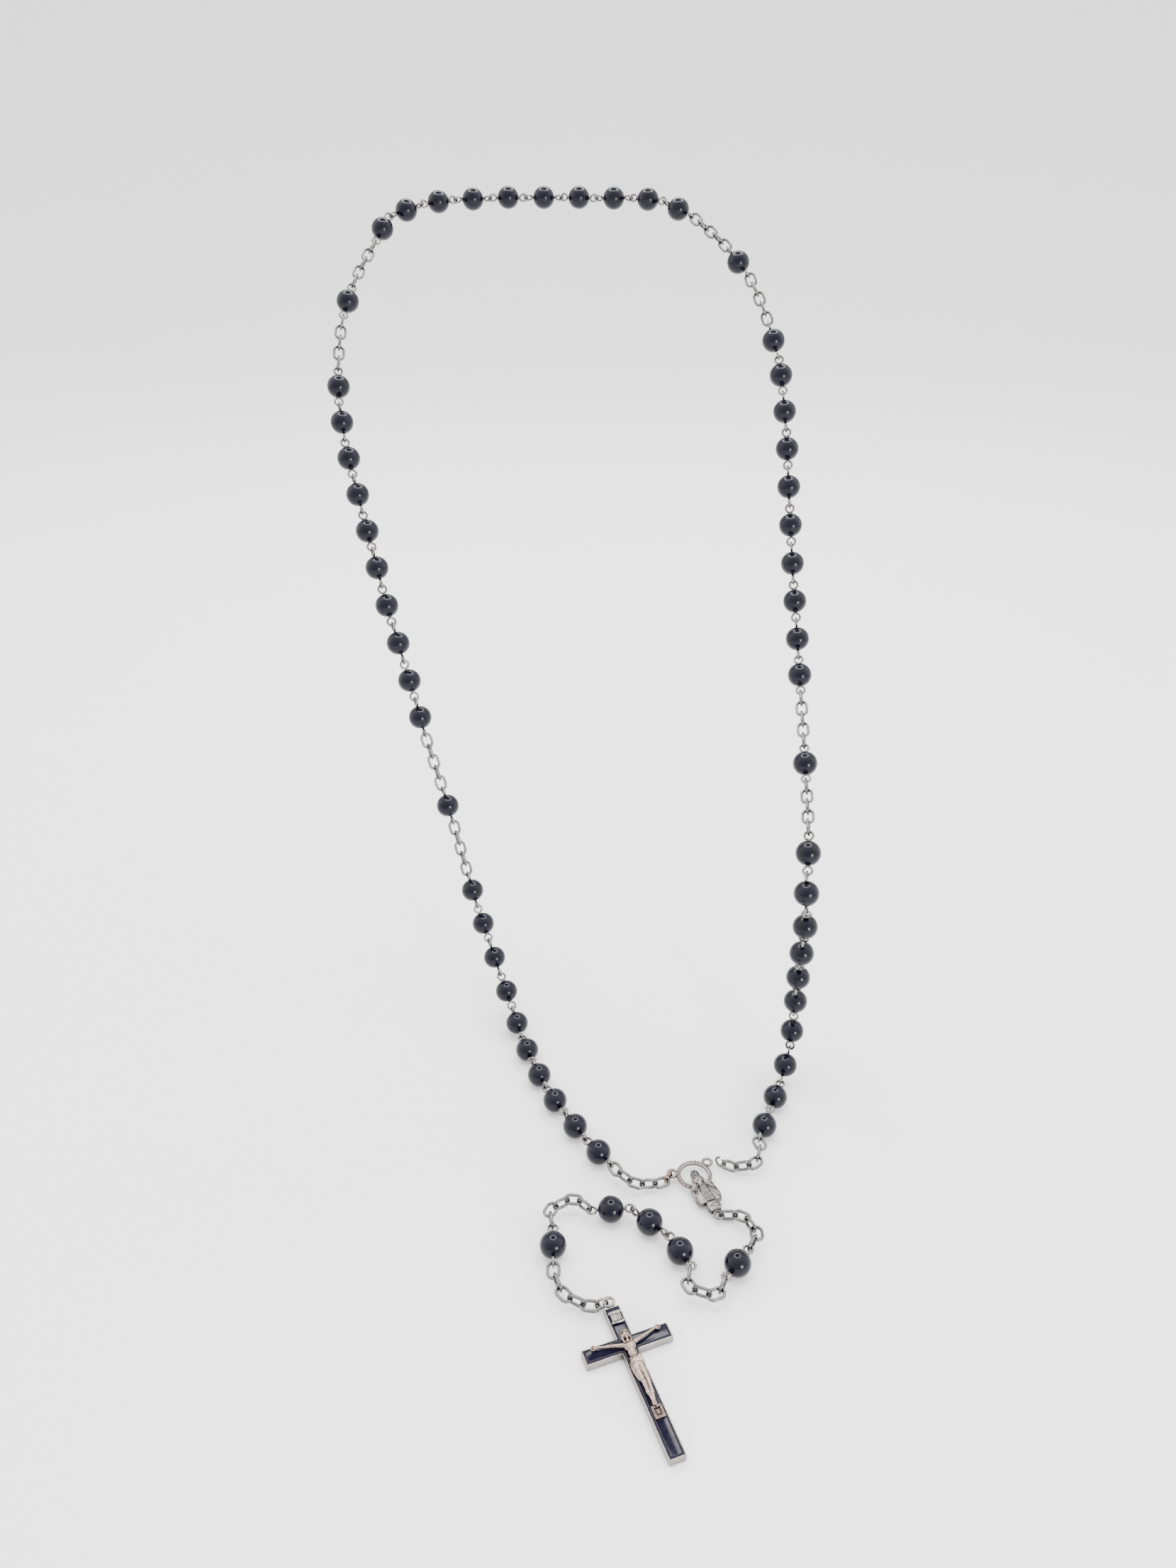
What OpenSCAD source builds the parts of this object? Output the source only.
// Five-decade rosary: a closed loop of beads, a medal, a pendant and a crucifix.
// It is laid out as draped on a display bust. The middle of the loop rests behind the neck,
// both strands run down the leaning chest, and the lower ends, the pendant and the crucifix
// lie on the table. The origin is the middle of the neck strand. X is to the right, Y is to
// the back and Z is up.

/* [Beads] */
// Diameter of every bead
bead_d = 8; // [6.6:0.1:9.6]
// Gap between a pin and the wall of its bead's hole
pin_clear = 0.1; // [0.05:0.01:0.2]

/* [Eye pins] */
// Thickness of the pin wire
pin_d = 0.8; // [0.65:0.01:0.96]
// Opening inside an eye
eye_in_d = 1.95; // [1.8:0.05:2.6]
// Gap between an eye and its bead
eye_gap = 0.05; // [0.03:0.01:0.12]

/* [Chain] */
// Outside length of a chain link
link_len = 6; // [5:0.1:7.2]
// Outside width of a chain link
link_w = 4.2; // [3.8:0.1:5]
// Thickness of the link wire
link_t = 0.9; // [0.7:0.01:1.08]
// Opening inside a jump ring
ring_in_d = 2.7; // [2.3:0.1:3.2]
// Thickness of the jump ring wire
ring_t = 0.7; // [0.6:0.01:0.84]
// Play where two loops hook together
play = 0.12; // [0.08:0.01:0.2]

/* [Medal] */
// Outside diameter of the halo
halo_d = 11.2; // [9.4:0.1:13.4]
// Width of the halo's rim
halo_rim = 1.3; // [1.1:0.05:1.6]
// Thickness of the cast plate
medal_t = 1.5; // [1.3:0.05:1.8]
// Distance from the halo's centre down to the bottom eyelet
medal_drop = 16.6; // [15.5:0.1:19.9]
// Opening inside a cast eyelet
eyelet_in_d = 1.9; // [1.7:0.05:2.3]
// Thickness of a cast eyelet's ring
eyelet_t = 0.9; // [0.75:0.05:1.1]

/* [Crucifix] */
// Length of the cross
cross_len = 45.4; // [38:0.1:54.4]
// Width across the arms
cross_span = 25.2; // [21:0.1:30]
// Width of each arm
cross_w = 4.7; // [4.2:0.1:5.6]
// Thickness of the metal frame
cross_t = 2.4; // [2:0.05:2.9]
// Distance from the top of the cross to the middle of its arms
cross_head = 12; // [11:0.1:14]
// Width of the frame's raised rim
rim_w = 0.4; // [0.35:0.01:0.5]
// Depth of the recess for the inlay
recess = 1.1; // [0.9:0.05:1.3]
// Gap around the inlay in its recess
inlay_gap = 0.05; // [0.02:0.01:0.1]

/* [Hidden] */
$fn = 32;

// A piece of the string is a bead on its eye pin, a chain link or a jump ring.
BEAD = 0;
LINK = 1;
RING = 2;
LINKS = 5;

// Radius of each loop's centre line, of its wire, and the distance between a piece's two loops.
eye_r = (eye_in_d + pin_d)/2;
eye_out = eye_r + pin_d/2;
link_r = (link_w - link_t)/2;
ring_r = (ring_in_d + ring_t)/2;
eyelet_r = (eyelet_in_d + eyelet_t)/2;
function loop_r(kind) = kind == BEAD ? eye_r : kind == LINK ? link_r : ring_r;
function wire_r(kind) = kind == BEAD ? pin_d/2 : kind == LINK ? link_t/2 : ring_t/2;
function body_len(kind) = kind == BEAD ? bead_d + 2*eye_gap + 2*eye_out
    : kind == LINK ? link_len - link_w : 0;
function hook(a, b) = loop_r(a) + loop_r(b) - wire_r(a) - wire_r(b) - play;
function eyelet_hook(kind) = eyelet_r + loop_r(kind) - eyelet_t/2 - wire_r(kind) - play;
function run(kind, n) = [for (i = [1:n]) kind];
function sum(v, i = 0) = i < len(v) ? v[i] + sum(v, i + 1) : 0;

// Small vector helpers.
UP = [0, 0, 1];
function unit(v) = v/norm(v);
function flat(v) = [v[0], v[1]];
function in_plane(v, n) = v - (v*n)*n;
function turned(v, angle) = [v[0]*cos(angle) - v[1]*sin(angle), v[0]*sin(angle) + v[1]*cos(angle)];
function compass(angle) = [cos(angle), sin(angle), 0];
function part_of(v, first, last) = [for (i = [first:last]) v[i]];

// One strand, from the neck down to its last bead: half a decade, then an Our Father bead and
// a decade, twice over.
gap_kinds = run(LINK, LINKS);
strand_kinds = concat(run(BEAD, 5), gap_kinds, run(BEAD, 1), gap_kinds, run(BEAD, 10),
    gap_kinds, run(BEAD, 1), gap_kinds, run(BEAD, 10));
function hooks_of(kinds) = [for (i = [1:len(kinds) - 1]) hook(kinds[i - 1], kinds[i])];
strand_len = sum([for (k = strand_kinds) body_len(k)]) + sum(hooks_of(strand_kinds));

// The routes of the two strands, from the neck down, in millimetres from the neck.
// They were laid out for a strand of ROUTE_LEN, and both are stretched to the strand's length.
ROUTE_LEN = 443;
left_route = [[0, 0, 0], [-14, 0, 0], [-31, -6, -1], [-45, -14, -3], [-52, -23, -10],
    [-63, -47, -32], [-64, -70, -58], [-59, -86, -79], [-52, -101, -100], [-45, -115, -122],
    [-38, -123, -146], [-35, -126, -159], [-26, -133, -192], [-18, -140, -225],
    [-14, -144, -237], [-10, -150, -248], [-5, -160, -256], [-1, -172, -260], [8, -197, -260],
    [21, -220, -260], [29, -231, -260], [37, -241, -260], [45, -251, -260]];
right_route = [[0, 0, 0], [14, 0, 0], [31, -4, 0], [46, -9, 0], [58, -17, -3],
    [78, -38, -19], [89, -59, -42], [92, -76, -63], [93, -91, -85], [94, -106, -108],
    [95, -123, -129], [95, -133, -138], [94, -162, -157], [92, -187, -168], [91, -195, -175],
    [91, -198, -184], [92, -196, -197], [93, -189, -222], [94, -185, -236], [94, -185, -248],
    [92, -191, -257], [86, -205, -260], [81, -217, -260], [76, -230, -260], [71, -243, -260]];
BEAD_PLANE = 260;
stretch = strand_len/ROUTE_LEN;
table_z = -BEAD_PLANE*stretch - bead_d/2;

// A Catmull-Rom curve through a route's points, with this many pieces between two points.
CURVE_STEPS = 6;
function curve_at(a, b, c, d, t) =
    0.5*(2*b + (c - a)*t + (2*a - 5*b + 4*c - d)*t*t + (3*b - a - 3*c + d)*t*t*t);
function curve(p) = concat([for (i = [0:len(p) - 2], j = [0:CURVE_STEPS - 1])
    curve_at(p[max(i - 1, 0)], p[i], p[i + 1], p[min(i + 2, len(p) - 1)], j/CURVE_STEPS)],
    [p[len(p) - 1]]);

// A placed piece is [kind, first loop's centre, last loop's centre, first loop's normal, last
// loop's normal]. Each piece hooks into the last one at right angles: the hook runs in both
// loops' planes, so every loop keeps its play however the strand bends.
function overshoot(q, from, n, gap, length) = let (v = in_plane(q - from, n))
    norm(v) <= gap ? -1 : norm(q - from - gap*unit(v)) - length;
function find_on(a, b, from, n, gap, length, low = 0, high = 1, i = 22) =
    let (m = (low + high)/2)
    i == 0 ? a + (b - a)*m
    : overshoot(a + (b - a)*m, from, n, gap, length) > 0
    ? find_on(a, b, from, n, gap, length, low, m, i - 1)
    : find_on(a, b, from, n, gap, length, m, high, i - 1);
function find_seg(path, from, n, gap, length, k) =
    k >= len(path) - 2 || overshoot(path[k + 1], from, n, gap, length) > 0 ? k
    : find_seg(path, from, n, gap, length, k + 1);
function lay(path, kinds, last, i, k) =
    i >= len(kinds) ? []
    : let (from = last[2], n = last[4], gap = hook(last[0], kinds[i]), length = body_len(kinds[i]),
        seg = find_seg(path, from, n, gap, length, k),
        end = find_on(path[seg], path[seg + 1], from, n, gap, length),
        start = from + gap*unit(in_plane(end - from, n)),
        normal = unit(cross(unit(end - start), n)), piece = [kinds[i], start, end, normal, normal])
    concat([piece], lay(path, kinds, piece, i + 1, seg));

// The first bead of each strand lies straight along X, hooked to the other strand's first bead.
// LEAN points down the chest, so that every other loop below turns about X.
NECK_SEG = 4;
function neck_bead(side, n) = let (near = hook(BEAD, BEAD)/2, far = near + body_len(BEAD))
    [BEAD, [side*near, 0, 0], [side*far, 0, 0], n, n];
// The last bead's lower eye is turned upright, so that the medal's chain starts flat.
function level_end(piece) =
    [piece[0], piece[1], piece[2], piece[3], unit(cross(unit(piece[2] - piece[1]), UP))];
function strand(route, side, n) = let (first = neck_bead(side, n),
    laid = lay(curve([for (p = route) p*stretch]), strand_kinds, first, 1, NECK_SEG),
    end = len(laid) - 1)
    concat([first], [for (i = [0:end]) i == end ? level_end(laid[i]) : laid[i]]);
LEAN = [0, -0.6, -0.8];
left_strand = strand(left_route, -1, cross([1, 0, 0], LEAN));
right_strand = strand(right_route, 1, LEAN);
left_last = left_strand[len(left_strand) - 1];
right_last = right_strand[len(right_strand) - 1];

// The medal's eyelets in its own frame: X across, Y up, from the halo's centre.
EYELET_ANGLE = 63;
MEDAL_TURN = 22;
eyelet_reach = halo_d/2 + eyelet_r - 0.1;
eyelet_left = eyelet_reach*[-sin(EYELET_ANGLE), cos(EYELET_ANGLE)];
eyelet_right = eyelet_reach*[sin(EYELET_ANGLE), cos(EYELET_ANGLE)];
eyelet_bottom = [0, -medal_drop];

// Each medal chain starts in line with the strand's last bead and then bows evenly. The medal
// sits this far below the point where both chains would pull straight.
MEDAL_SAG = 4;
first_hook = hook(BEAD, LINK);
link_hook = hook(LINK, LINK);
free_len = body_len(LINK);
pair_len = free_len + 2*link_hook;
last_len = hook(LINK, RING) + eyelet_hook(RING);
bow_lens = [free_len, pair_len, free_len, pair_len, free_len, last_len];
// The right-hand chain's ring is sprung open and stands this far clear of the medal.
OPEN_GAP = 0.4;
open_ring_x = eyelet_r + eyelet_t/2 + OPEN_GAP + ring_r + ring_t/2;
open_lens = [free_len, pair_len, free_len, pair_len, free_len + hook(LINK, RING)];
function after(piece) = piece[2] + first_hook*unit(piece[2] - piece[1]);
left_from = after(left_last);
right_from = after(right_last);
circle_a = flat(left_from) - turned(eyelet_left, MEDAL_TURN);
circle_b = flat(right_from) - turned(eyelet_right, MEDAL_TURN);
across = circle_b - circle_a;
medal_xy = (circle_a + circle_b)/2 + MEDAL_SAG*[across[1], -across[0]]/norm(across);
LIFT = 0.1;
eyelet_z = table_z + max(ring_r + ring_t/2, link_w/2) + LIFT;
function at_medal(p) = let (q = medal_xy + turned(p, MEDAL_TURN)) [q[0], q[1], eyelet_z];

// A bowed chain is a row of straight runs, each turned by the same angle from the last.
function bow_at(lens, turn, i) = i == 0 ? [0, 0]
    : bow_at(lens, turn, i - 1) + flat(lens[i - 1]*compass((i - 1)*turn));
function bow_turn(lens, chord, low = 0, high = 60, n = 30) = let (turn = (low + high)/2)
    n == 0 ? turn : norm(bow_at(lens, turn, len(lens))) > chord
    ? bow_turn(lens, chord, turn, high, n - 1) : bow_turn(lens, chord, low, turn, n - 1);
function bowed(from, to, lens, sense) = let (chord = norm(to - from), ahead = unit(to - from),
    side = unit(cross(UP, ahead)), turn = bow_turn(lens, chord), end = bow_at(lens, turn, len(lens)))
    [for (i = [0:len(lens)]) let (p = bow_at(lens, turn, i),
        along = (p*end)/norm(end), aside = (p[0]*end[1] - p[1]*end[0])/norm(end))
        from + along*ahead + sense*aside*side];

// Pieces laid level: flat ones turn at their loops, upright ones keep in line with their hooks.
function flat_normal(a, b) = let (z = unit(b - a)) unit(UP - (UP*z)*z);
function upright_normal(a, b) = unit(cross(unit(b - a), UP));
function flat_piece(kind, a, b) = let (n = flat_normal(a, b)) [kind, a, b, n, n];
function upright_piece(kind, a, b, gap) = let (z = unit(b - a), n = upright_normal(a, b))
    [kind, a + gap*z, a + (gap + body_len(kind))*z, n, n];
function medal_chain(v) = [flat_piece(LINK, v[0], v[1]), upright_piece(LINK, v[1], v[2], link_hook),
    flat_piece(LINK, v[2], v[3]), upright_piece(LINK, v[3], v[4], link_hook),
    flat_piece(LINK, v[4], v[5]), upright_piece(RING, v[5], v[6], hook(LINK, RING))];
left_chain = medal_chain(bowed(left_from, at_medal(eyelet_left), bow_lens, -1));
open_ring = at_medal(eyelet_right) + [open_ring_x, 0, 0];
open_run = bowed(right_from, open_ring, open_lens, 1);
last_link = open_run[4] + free_len*unit(open_run[5] - open_run[4]);
right_chain = [for (p = medal_chain(concat(part_of(open_run, 0, 4), [last_link, open_ring])))
    p[0] == RING ? [RING, open_ring, open_ring, p[3], p[4]] : p];

// The pendant is laid piece by piece. A chain covers this share of its length, in this
// direction, and bows to its left (1) or its right (-1). A bead lies in its own direction.
CHAIN_11 = [0.71, -63, 1];
FATHER_5 = -128;
CHAIN_12 = [0.48, 160, 1];
HAIL_1 = 118;
HAIL_2 = 138;
HAIL_3 = 184;
CHAIN_13 = [0.6, -150, -1];
FATHER_6 = -88;
CHAIN_14 = [0.82, -32, -1];
bead_len = body_len(BEAD);
bead_z = table_z + bead_d/2;
to_bead_len = hook(BEAD, LINK) + free_len + link_hook;
gap_lens = [to_bead_len, free_len, pair_len, free_len, to_bead_len];
medal_lens = [eyelet_hook(LINK) + free_len + link_hook, free_len, pair_len, free_len, to_bead_len];
function along(p, length, angle) = p + length*compass(angle);
function at_height(p, z) = [p[0], p[1], z];
function chain_end(p, lens, rule) = along(p, rule[0]*sum(lens), rule[1]);
function laid_chain(p, q, lens, rule) = bowed(p, q, lens, rule[2]);
p_eyelet = at_medal(eyelet_bottom);
p_a = at_height(chain_end(p_eyelet, medal_lens, CHAIN_11), bead_z);
p_a_end = along(p_a, bead_len, FATHER_5);
p_b = chain_end(p_a_end, gap_lens, CHAIN_12);
p_b_end = along(p_b, bead_len, HAIL_1);
p_d = along(p_b_end, bead_len + 2*hook(BEAD, BEAD), HAIL_2);
p_d_end = along(p_d, bead_len, HAIL_3);
p_f = chain_end(p_d_end, gap_lens, CHAIN_13);
p_f_end = along(p_f, bead_len, FATHER_6);
p_f_hook = along(p_f_end, first_hook, FATHER_6);
p_cross = at_height(chain_end(p_f_hook, bow_lens, CHAIN_14), eyelet_z);

function gap_chain(v, first) = [upright_piece(LINK, v[0], v[1], first),
    flat_piece(LINK, v[1], v[2]), upright_piece(LINK, v[2], v[3], link_hook),
    flat_piece(LINK, v[3], v[4]), upright_piece(LINK, v[4], v[5], link_hook)];
chain_11_laid = gap_chain(laid_chain(p_eyelet, p_a, medal_lens, CHAIN_11), eyelet_hook(LINK));
father_5_laid = flat_piece(BEAD, p_a, p_a_end);
chain_12_laid = gap_chain(laid_chain(p_a_end, p_b, gap_lens, CHAIN_12), first_hook);
hail_1_laid = flat_piece(BEAD, p_b, p_b_end);
hail_2_laid = upright_piece(BEAD, p_b_end, p_d, hook(BEAD, BEAD));
hail_3_laid = flat_piece(BEAD, p_d, p_d_end);
chain_13_laid = gap_chain(laid_chain(p_d_end, p_f, gap_lens, CHAIN_13), first_hook);
father_6_laid = level_end(flat_piece(BEAD, p_f, p_f_end));
chain_14_laid = medal_chain(laid_chain(p_f_hook, p_cross, bow_lens, CHAIN_14));

// The crucifix lies on the table, hung by its eyelet from the last ring.
CROSS_TURN = 20.5;
EYELET_RISE = 0.45;
cross_eyelet = cross_head + eyelet_r + EYELET_RISE;
cross_at = let (q = flat(p_cross) - turned([0, cross_eyelet], CROSS_TURN)) [q[0], q[1], table_z];

// Bead strand numbering, from the neck down.
HALF = 5;
function beads_from(strand, first) = part_of(strand, first, first + HALF - 1);
first_gap = HALF;
first_father = first_gap + LINKS;
second_gap = first_father + 1;
upper_half = second_gap + LINKS;
lower_half = upper_half + HALF;
third_gap = lower_half + HALF;
second_father = third_gap + LINKS;
fourth_gap = second_father + 1;
end_upper = fourth_gap + LINKS;
end_lower = end_upper + HALF;

// Colours
BLACK = [0.07, 0.07, 0.1];
STEEL = [0.62, 0.62, 0.62];
SILVER = [0.7, 0.69, 0.67];
ROSE = [0.72, 0.64, 0.6];

// Shapes
module facing(at, z, x) {
    y = cross(z, x);
    multmatrix([[x[0], y[0], z[0], at[0]], [x[1], y[1], z[1], at[1]], [x[2], y[2], z[2], at[2]],
        [0, 0, 0, 1]]) children();
}

function beside(n) = unit(cross(n, abs(n[0]) < 0.8 ? [1, 0, 0] : [0, 1, 0]));

module loop(at, n, r, wire) {
    facing(at, n, beside(n)) rotate_extrude() translate([r, 0]) circle(r = wire);
}

STEM_SHARE = 0.92;
module eye_pin(piece) {
    z = unit(piece[2] - piece[1]);
    loop(piece[1], piece[3], eye_r, pin_d/2);
    loop(piece[2], piece[4], eye_r, pin_d/2);
    facing(piece[1] + eye_r*z, z, piece[3]) cylinder(d = STEM_SHARE*pin_d, h = bead_len - 2*eye_r);
}

module bead(piece) {
    z = unit(piece[2] - piece[1]);
    facing((piece[1] + piece[2])/2, z, piece[3]) difference() {
        sphere(d = bead_d);
        cylinder(d = pin_d + 2*pin_clear, h = 2*bead_d, center = true);
    }
}

module link(piece) {
    z = unit(piece[2] - piece[1]);
    half = (link_len - link_w)/2;
    facing((piece[1] + piece[2])/2, piece[3], z) {
        translate([half, 0, 0]) rotate([0, 0, -90]) rotate_extrude(angle = 180)
            translate([link_r, 0]) circle(d = link_t);
        translate([-half, 0, 0]) rotate([0, 0, 90]) rotate_extrude(angle = 180)
            translate([link_r, 0]) circle(d = link_t);
        for (side = [-1, 1]) translate([-half, side*link_r, 0]) rotate([0, 90, 0])
            cylinder(d = link_t, h = 2*half);
    }
}

module beads(pieces) {
    color(BLACK) for (p = pieces) bead(p);
}

module pins(pieces) {
    color(SILVER) for (p = pieces) eye_pin(p);
}

module chain(pieces) {
    color(STEEL) for (p = pieces) {
        if (p[0] == LINK) link(p);
        if (p[0] == RING) loop(p[1], p[3], ring_r, ring_t/2);
    }
}

// The medal: a milled halo, the figure's cloak, body and head, a knob and three eyelets.
NOTCHES = 24;
NOTCH_D = 0.7;
VEIL_TOP = 1.4;
CLOAK_TOP = -3.6;
CLOAK_FOOT = -11.6;
CLOAK_HALF = 4.3;
KNOB_D = 4.6;
KNOB_H = 2.6;
HEAD_D = 2.3;
module medal() {
    base_z = -medal_t/2;
    color(SILVER) translate([medal_xy[0], medal_xy[1], eyelet_z]) rotate([0, 0, MEDAL_TURN]) {
        difference() {
            translate([0, 0, base_z]) cylinder(d = halo_d, h = medal_t);
            translate([0, 0, base_z - 1]) cylinder(d = halo_d - 2*halo_rim, h = medal_t + 2);
            for (i = [0:NOTCHES - 1]) rotate([0, 0, (i + 0.5)*360/NOTCHES])
                translate([halo_d/2 - halo_rim/2, 0, medal_t/2]) sphere(d = NOTCH_D);
        }
        for (p = [eyelet_left, eyelet_right, eyelet_bottom])
            loop([p[0], p[1], 0], UP, eyelet_r, eyelet_t/2);
        translate([0, 0, base_z]) linear_extrude(medal_t) polygon([[-2.2, CLOAK_TOP], [-1.3, -0.4],
            [0, VEIL_TOP], [1.3, -0.4], [2.2, CLOAK_TOP], [3.9, CLOAK_TOP - 1.4],
            [CLOAK_HALF, CLOAK_FOOT + 2], [CLOAK_HALF - 0.6, CLOAK_FOOT], [1.9, CLOAK_FOOT + 0.4],
            [1.6, -medal_drop + 1.3], [-1.6, -medal_drop + 1.3], [-1.9, CLOAK_FOOT + 0.4],
            [-CLOAK_HALF + 0.6, CLOAK_FOOT], [-CLOAK_HALF, CLOAK_FOOT + 2],
            [-3.9, CLOAK_TOP - 1.4]]);
        translate([0, -0.6, medal_t/2 - 0.5]) sphere(d = HEAD_D);
        translate([0, CLOAK_FOOT + 0.2, medal_t/2 - 0.6]) rotate([-90, 0, 0])
            cylinder(r1 = 1.9, r2 = 0.9, h = -CLOAK_FOOT - 1.4);
        translate([0, CLOAK_FOOT - KNOB_H - 0.3, 0]) rotate([-90, 0, 0]) intersection() {
            cylinder(d = KNOB_D, h = KNOB_H);
            translate([0, 0, KNOB_H/2]) cube([KNOB_D + 1, medal_t + 1.4, KNOB_H + 1], center = true);
        }
    }
}

// The crucifix, drawn flat on the table with its front up.
foot_y = cross_head - cross_len;
module on_cross() {
    translate(cross_at) rotate([0, 0, CROSS_TURN]) children();
}

module cross_shape(inset) {
    translate([-cross_w/2 + inset, foot_y + inset]) square([cross_w - 2*inset, cross_len - 2*inset]);
    translate([-cross_span/2 + inset, -cross_w/2 + inset])
        square([cross_span - 2*inset, cross_w - 2*inset]);
}

module crucifix_frame() {
    color(SILVER) on_cross() {
        difference() {
            linear_extrude(cross_t) cross_shape(0);
            translate([0, 0, cross_t - recess]) linear_extrude(recess + 1) cross_shape(rim_w);
        }
        loop([0, cross_eyelet, eyelet_z - table_z], UP, eyelet_r, eyelet_t/2);
        translate([-0.8, cross_head - 0.3, 0]) cube([1.6, EYELET_RISE + 0.6, cross_t]);
    }
}

// The inlay stands a little proud of the frame's rim.
INLAY_RISE = 0.15;
module crucifix_inlay() {
    color(BLACK) on_cross() translate([0, 0, cross_t - recess])
        linear_extrude(recess + INLAY_RISE) cross_shape(rim_w + inlay_gap);
}

// The figure lies on the inlay. Its limbs are tapered rods between round joints.
inlay_z = cross_t + INLAY_RISE;
JOINT_SWELL = 1.06;
module limb(a, b, d1, d2) {
    z = unit(b - a);
    facing(a, z, beside(z)) cylinder(d1 = d1, d2 = d2, h = norm(b - a));
    translate(b) sphere(d = JOINT_SWELL*d2);
}

HAND = [9.4, 1.3, 0.75];
SHOULDER = [1.3, -1.2, 1];
HIP = [0.8, -8.6, 1.05];
KNEE = [0.65, -14, 1.5];
FOOT = [0.3, -18.6, 0.7];
HEAD = [0, 1.6, 1.7];
FACE_D = 2.7;
BODY_Z = 0.9;
CHEST_Y = -0.6;
CHEST_LEN = 5.4;
WAIST_Y = -5.9;
WAIST_LEN = 3.6;
NAIL_D = 1.7;
NAIL_H = 0.95;
PLATE_Y = -22.8;
PLATE = [2.8, 4, 0.8];
module crucifix_corpus() {
    color(ROSE) on_cross() translate([0, 0, inlay_z]) {
        for (side = [-1, 1]) {
            limb([side*SHOULDER[0], SHOULDER[1], SHOULDER[2]], [side*HAND[0], HAND[1], HAND[2]],
                1.6, 1.1);
            limb([side*HIP[0], HIP[1], HIP[2]], [side*KNEE[0], KNEE[1], KNEE[2]], 1.95, 1.5);
            limb([side*KNEE[0], KNEE[1], KNEE[2]], [side*FOOT[0], FOOT[1], FOOT[2]], 1.4, 1);
        }
        intersection() {
            union() {
                translate([0, CHEST_Y, BODY_Z]) rotate([90, 0, 0])
                    cylinder(d1 = 4.4, d2 = 3, h = CHEST_LEN);
                translate([0, WAIST_Y, BODY_Z]) rotate([90, 0, 0])
                    cylinder(d1 = 3.4, d2 = 3.9, h = WAIST_LEN);
            }
            translate([-4, -12, 0]) cube([8, 14, 6]);
        }
        translate([0, 0.9, 1]) rotate([90, 0, 0]) cylinder(d = 1.3, h = 2);
        translate(HEAD) sphere(d = FACE_D);
        for (side = [-1, 1]) translate([side*HAND[0], HAND[1], 0])
            cylinder(d = NAIL_D, h = NAIL_H);
        translate([-PLATE[0]/2, PLATE_Y, 0]) cube(PLATE);
    }
}

// A blank scroll with two rolled ends, this share of the way up the cross's head.
SCROLL_SHARE = 0.683;
SCROLL = [3, 3, 0.5];
ROLL_D = 0.9;
ROLL_LEN = 3.6;
ROLL_Y = 1.6;
ROLL_Z = 0.4;
module title_plate() {
    color(SILVER) on_cross() translate([0, SCROLL_SHARE*cross_head, inlay_z]) {
        translate([-SCROLL[0]/2, -SCROLL[1]/2, 0]) cube(SCROLL);
        for (side = [-1, 1]) translate([-ROLL_LEN/2, side*ROLL_Y, ROLL_Z]) intersection() {
            rotate([0, 90, 0]) cylinder(d = ROLL_D, h = ROLL_LEN);
            translate([0, -ROLL_D, -ROLL_Z]) cube([ROLL_LEN + ROLL_Z, 2*ROLL_D, 1]);
        }
    }
}

module decade_1_lower_beads() { beads(beads_from(left_strand, end_lower)); }
module decade_1_lower_pins() { pins(beads_from(left_strand, end_lower)); }
module decade_1_upper_beads() { beads(beads_from(left_strand, end_upper)); }
module decade_1_upper_pins() { pins(beads_from(left_strand, end_upper)); }
module decade_2_lower_beads() { beads(beads_from(left_strand, lower_half)); }
module decade_2_lower_pins() { pins(beads_from(left_strand, lower_half)); }
module decade_2_upper_beads() { beads(beads_from(left_strand, upper_half)); }
module decade_2_upper_pins() { pins(beads_from(left_strand, upper_half)); }
module decade_3_left_beads() { beads(beads_from(left_strand, 0)); }
module decade_3_left_pins() { pins(beads_from(left_strand, 0)); }
module decade_3_right_beads() { beads(beads_from(right_strand, 0)); }
module decade_3_right_pins() { pins(beads_from(right_strand, 0)); }
module decade_4_upper_beads() { beads(beads_from(right_strand, upper_half)); }
module decade_4_upper_pins() { pins(beads_from(right_strand, upper_half)); }
module decade_4_lower_beads() { beads(beads_from(right_strand, lower_half)); }
module decade_4_lower_pins() { pins(beads_from(right_strand, lower_half)); }
module decade_5_upper_beads() { beads(beads_from(right_strand, end_upper)); }
module decade_5_upper_pins() { pins(beads_from(right_strand, end_upper)); }
module decade_5_lower_beads() { beads(beads_from(right_strand, end_lower)); }
module decade_5_lower_pins() { pins(beads_from(right_strand, end_lower)); }
module father_bead_1() { beads([left_strand[second_father]]); }
module father_pin_1() { pins([left_strand[second_father]]); }
module father_bead_2() { beads([left_strand[first_father]]); }
module father_pin_2() { pins([left_strand[first_father]]); }
module father_bead_3() { beads([right_strand[first_father]]); }
module father_pin_3() { pins([right_strand[first_father]]); }
module father_bead_4() { beads([right_strand[second_father]]); }
module father_pin_4() { pins([right_strand[second_father]]); }
module father_bead_5() { beads([father_5_laid]); }
module father_pin_5() { pins([father_5_laid]); }
module father_bead_6() { beads([father_6_laid]); }
module father_pin_6() { pins([father_6_laid]); }
module hail_bead_1() { beads([hail_1_laid]); }
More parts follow.
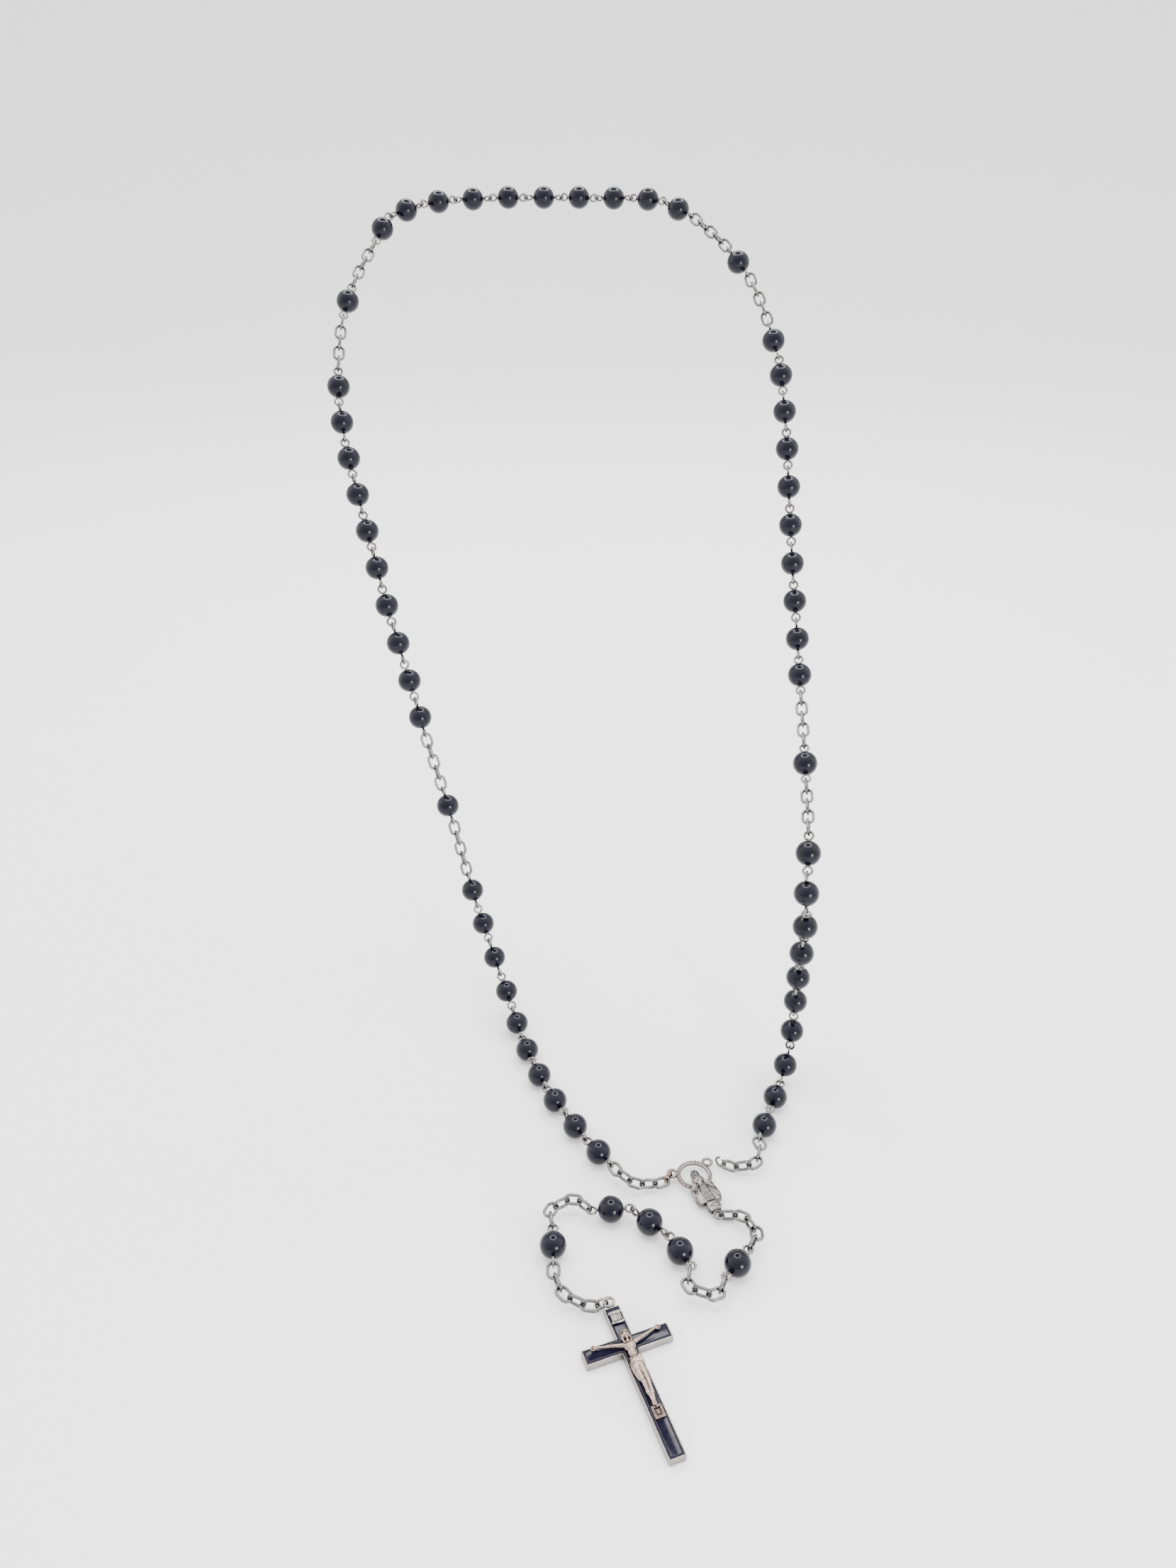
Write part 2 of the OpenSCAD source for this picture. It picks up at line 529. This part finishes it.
module hail_pin_1() { pins([hail_1_laid]); }
module hail_bead_2() { beads([hail_2_laid]); }
module hail_pin_2() { pins([hail_2_laid]); }
module hail_bead_3() { beads([hail_3_laid]); }
module hail_pin_3() { pins([hail_3_laid]); }
module chain_01() { chain(left_chain); }
module chain_02() { chain(part_of(left_strand, fourth_gap, end_upper - 1)); }
module chain_03() { chain(part_of(left_strand, third_gap, second_father - 1)); }
module chain_04() { chain(part_of(left_strand, second_gap, upper_half - 1)); }
module chain_05() { chain(part_of(left_strand, first_gap, first_father - 1)); }
module chain_06() { chain(part_of(right_strand, first_gap, first_father - 1)); }
module chain_07() { chain(part_of(right_strand, second_gap, upper_half - 1)); }
module chain_08() { chain(part_of(right_strand, third_gap, second_father - 1)); }
module chain_09() { chain(part_of(right_strand, fourth_gap, end_upper - 1)); }
module chain_10() { chain(right_chain); }
module chain_11() { chain(chain_11_laid); }
module chain_12() { chain(chain_12_laid); }
module chain_13() { chain(chain_13_laid); }
module chain_14() { chain(chain_14_laid); }

decade_1_lower_beads();
decade_1_lower_pins();
decade_1_upper_beads();
decade_1_upper_pins();
decade_2_lower_beads();
decade_2_lower_pins();
decade_2_upper_beads();
decade_2_upper_pins();
decade_3_left_beads();
decade_3_left_pins();
decade_3_right_beads();
decade_3_right_pins();
decade_4_upper_beads();
decade_4_upper_pins();
decade_4_lower_beads();
decade_4_lower_pins();
decade_5_upper_beads();
decade_5_upper_pins();
decade_5_lower_beads();
decade_5_lower_pins();
father_bead_1();
father_pin_1();
father_bead_2();
father_pin_2();
father_bead_3();
father_pin_3();
father_bead_4();
father_pin_4();
father_bead_5();
father_pin_5();
father_bead_6();
father_pin_6();
hail_bead_1();
hail_pin_1();
hail_bead_2();
hail_pin_2();
hail_bead_3();
hail_pin_3();
chain_01();
chain_02();
chain_03();
chain_04();
chain_05();
chain_06();
chain_07();
chain_08();
chain_09();
chain_10();
chain_11();
chain_12();
chain_13();
chain_14();
medal();
crucifix_frame();
crucifix_inlay();
crucifix_corpus();
title_plate();
